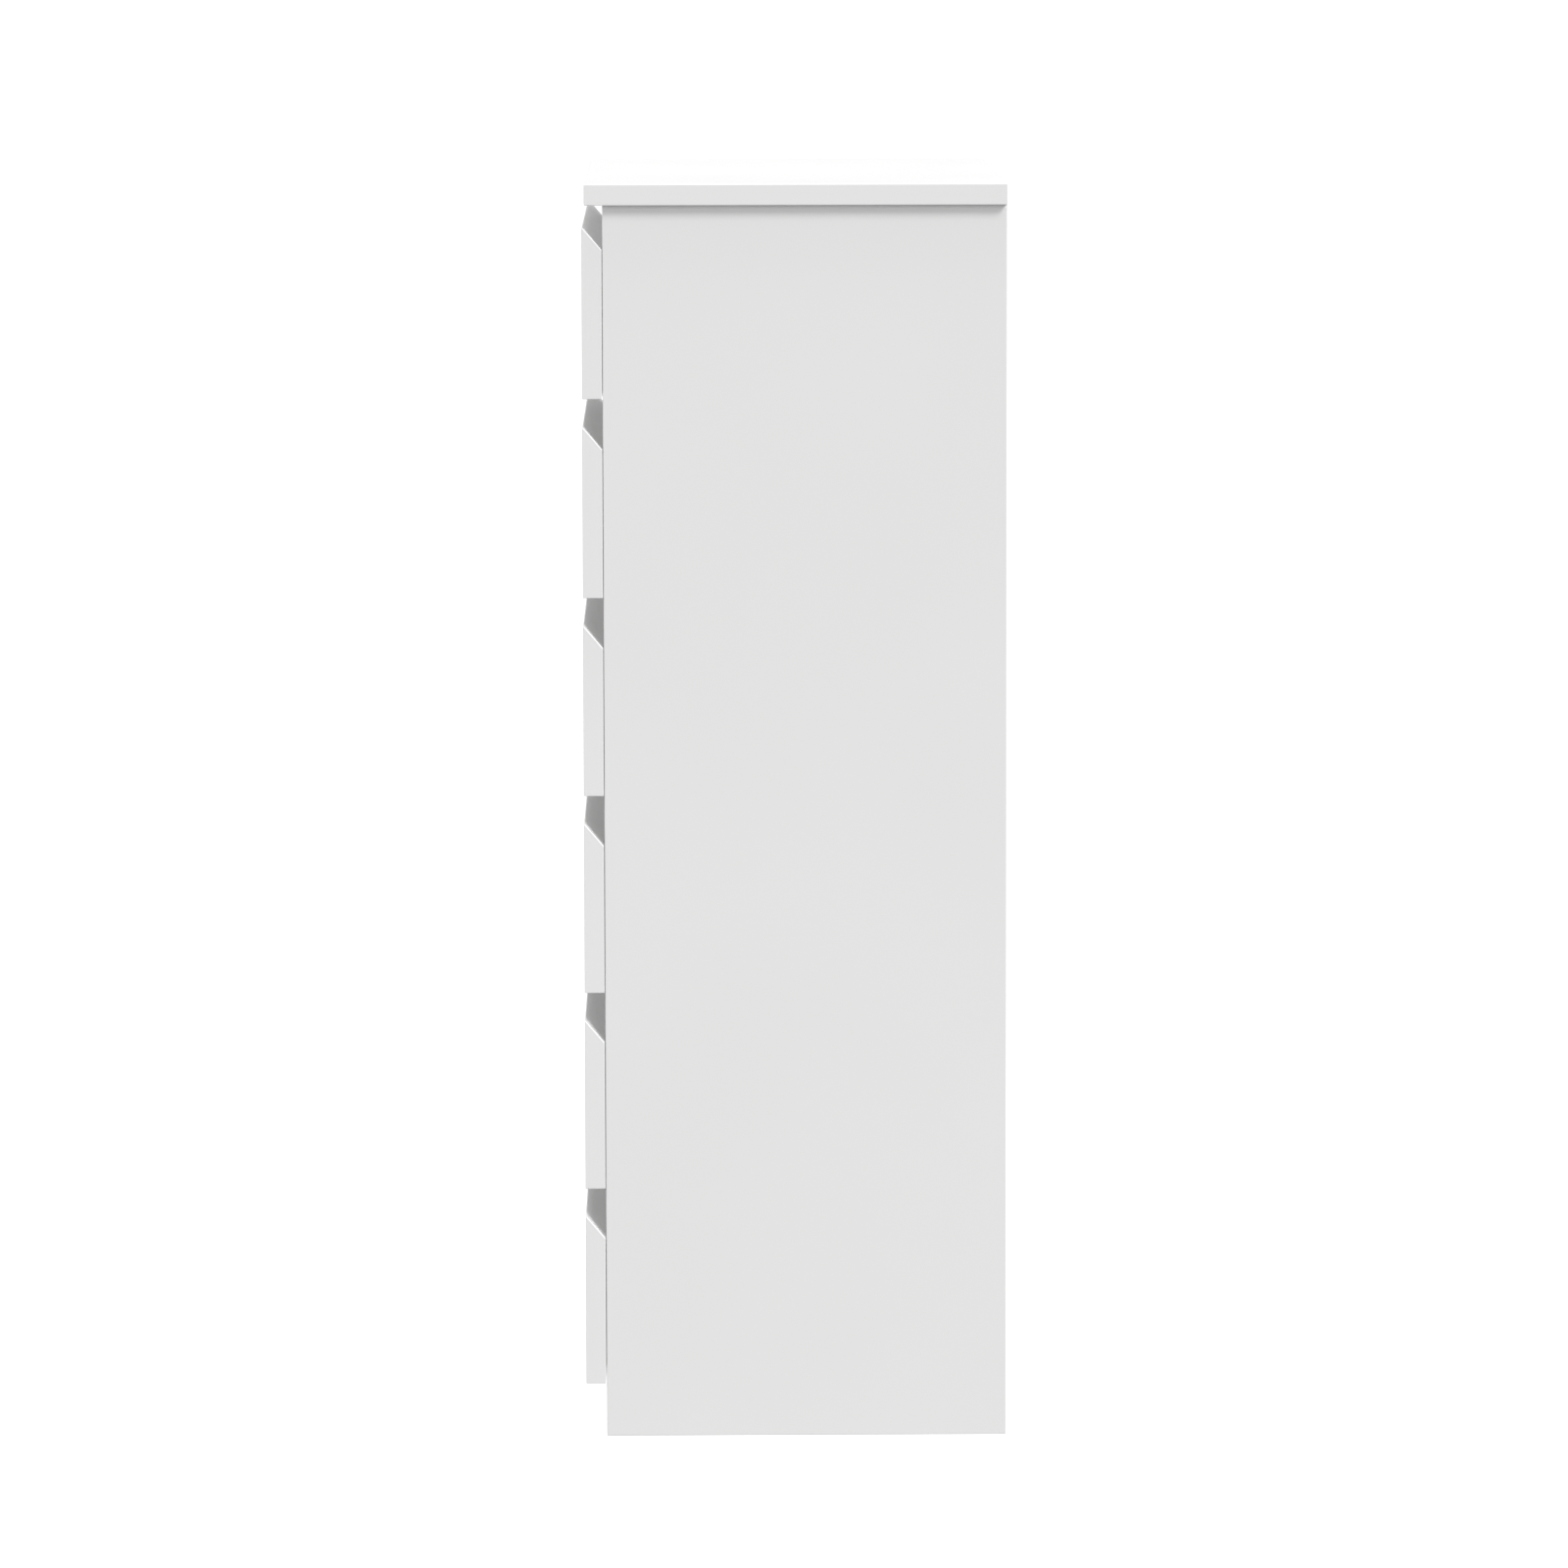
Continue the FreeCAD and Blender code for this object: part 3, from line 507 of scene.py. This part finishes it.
# An edge is on the outside where both its ends lie on the same two sides of the board's box.
# Sides 0 to 5 are left, front, foot, right, back and top. The share is for the edges along the top's sides.
def weighOuterEdges(mesh, low, high, topShare):
    places = np.empty(len(mesh.vertices) * 3)
    mesh.vertices.foreach_get("co", places)
    places = places.reshape(-1, 3)
    ends = np.empty(len(mesh.edges) * 2, dtype=np.int32)
    mesh.edges.foreach_get("vertices", ends)
    ends = ends.reshape(-1, 2)
    gaps = np.concatenate([abs(places - np.array(low)), abs(places - np.array(high))], axis=1)
    onSide = gaps < boardEdges["onSide"]
    shared = onSide[ends[:, 0]] & onSide[ends[:, 1]]
    outer = (shared.sum(axis=1) >= 2).astype(np.float32)
    weights = mesh.attributes.new("bevel_weight_edge", "FLOAT", "EDGE")
    alongTop = shared[:, 5] & (shared[:, 0] | shared[:, 3])
    weights.data.foreach_set("value", outer * np.where(alongTop, topShare, 1.0))


# Wide flat faces keep their own normal, and only the narrow strips beside them bend the light.
def evenShading(piece):
    shading = piece.modifiers.new("evenShading", "WEIGHTED_NORMAL")
    shading.weight = boardEdges["evenness"]
    shading.keep_sharp = True


def makeBoard(node, paint=None, width=boardEdges["width"], topShare=1.0):
    mesh = cleanCopy(node, node + "_board")
    weighOuterEdges(mesh, *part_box(node), topShare)
    piece = addPiece(mesh.name, mesh, node, paint)
    bevel = piece.modifiers.new("easedEdges", "BEVEL")
    bevel.limit_method = "WEIGHT"
    bevel.width = width
    bevel.segments = boardEdges["segments"]
    bevel.use_clamp_overlap = False
    evenShading(piece)


# Runners, balls, locks and screws, and the dowels too.
def makeHardware(node):
    mesh = cleanCopy(node, node + "_metal")
    piece = addPiece(mesh.name, mesh, node)
    evenShading(piece)


for side in ("left", "right"):
    makeBoard("side_panel_" + side, paintOf["sidePanel"], boardEdges["sideWidth"], boardEdges["underTop"])
for node in ("bottom_panel", "plinth_rail"):
    makeBoard(node)
for drawer in drawers:
    for part in ("_side_left", "_side_right", "_back"):
        makeBoard(drawer + part)
nodes["top_rails"].material_slots[0].material = paintOf["white_board"]
nodes["back_panel"].material_slots[0].material = paintOf["backPanel"]
for node, slot in slotOfNode.items():
    if node.endswith("_floor"):
        nodes[node].material_slots[0].material = paintOf["thin_board"]
    if slot in ("runner_steel", "bearing_steel", "zinc", "beech"):
        makeHardware(node)
print("boards and hardware made")


# ---- camera ----
view = {
    "lens": 189.0,
    "farthest": 1000.0,
    "place": (8.081, -0.111, 1.535),
    "aim": (0.0, -0.0067, 0.5947),
    "roll": -0.10,                 # degrees
}


def makeCamera():
    data = bpy.data.cameras.new("camera")
    data.lens = view["lens"]
    data.clip_end = view["farthest"]
    camera = bpy.data.objects.new("camera", data)
    bpy.context.collection.objects.link(camera)
    towards = Vector(view["aim"]) - Vector(view["place"])
    turn = towards.to_track_quat("-Z", "Y").to_matrix().to_4x4()
    roll = Matrix.Rotation(math.radians(view["roll"]), 4, "Z")
    camera.matrix_world = Matrix.Translation(view["place"]) @ turn @ roll
    bpy.context.scene.camera = camera


makeCamera()


# ---- floor and light ----
studio = {
    "floorSize": 300.0,
    "floorTone": (0.85, 0.85, 0.85, 1.0),
    "floorRoughness": 0.9,
    "room": 0.58,
}

# each sun's direction, strength and angle in degrees
suns = {
    "overheadLight": ((0, 0, 1), 1.3, 25.0),      # straight down, so it only reaches the top and the slopes
    "keyLight": ((1.0, 0.80, 1.05), 1.80, 24.0),  # from above, behind and beside the right side panel
    "frontLight": ((0, -1, 0.35), 0.8, 30.0),     # for the drawer fronts
    "slopeLight": ((0, 1, 0.85), 1.05, 10.0),     # what a room sends behind the fronts, onto their slopes
    "floorLight": ((0, 0, 1), 2.8, 10.0),
}


def addSun(name, receivers, blockers=None):
    direction, strength, angle = suns[name]
    data = bpy.data.lights.new(name, "SUN")
    data.energy = strength
    data.angle = math.radians(angle)
    lamp = bpy.data.objects.new(name, data)
    lamp.rotation_euler = Vector(direction).to_track_quat("Z", "Y").to_euler()
    bpy.context.collection.objects.link(lamp)
    lamp.light_linking.receiver_collection = receivers
    if blockers:
        lamp.light_linking.blocker_collection = blockers


def collectionOf(name, members):
    group = bpy.data.collections.new(name)
    for member in members:
        group.objects.link(member)
    return group


def makeStudio():
    half = studio["floorSize"] / 2
    mesh = bpy.data.meshes.new("floor")
    corners = [(-half, -half, 0), (half, -half, 0), (half, half, 0), (-half, half, 0)]
    mesh.from_pydata(corners, [], [(0, 1, 2, 3)])
    floor = bpy.data.objects.new("floor", mesh)
    bpy.context.collection.objects.link(floor)
    finish = {"Base Color": studio["floorTone"], "Roughness": studio["floorRoughness"]}
    mesh.materials.append(Paint("paleFloor").finish(finish))
    floor.visible_diffuse = False  # the room's own even light comes from below instead
    world = bpy.data.worlds.new("softRoom")
    world.use_nodes = True
    background = world.node_tree.nodes["Background"]
    background.inputs["Color"].default_value = (1.0, 1.0, 1.0, 1.0)
    background.inputs["Strength"].default_value = studio["room"]
    bpy.context.scene.world = world
    onlyFloor = collectionOf("onlyFloor", [floor])
    onlyFronts = collectionOf("onlyFronts", frontBoards)
    allButFloor = collectionOf("allButFloor", [floor])
    allButFloor.collection_objects[0].light_linking.link_state = "EXCLUDE"
    addSun("floorLight", onlyFloor, onlyFloor)
    addSun("slopeLight", onlyFronts, onlyFloor)
    for name in ("overheadLight", "keyLight", "frontLight"):
        addSun(name, allButFloor)
    bpy.context.scene.view_settings.view_transform = "Standard"


makeStudio()
print("camera, floor and lights placed")
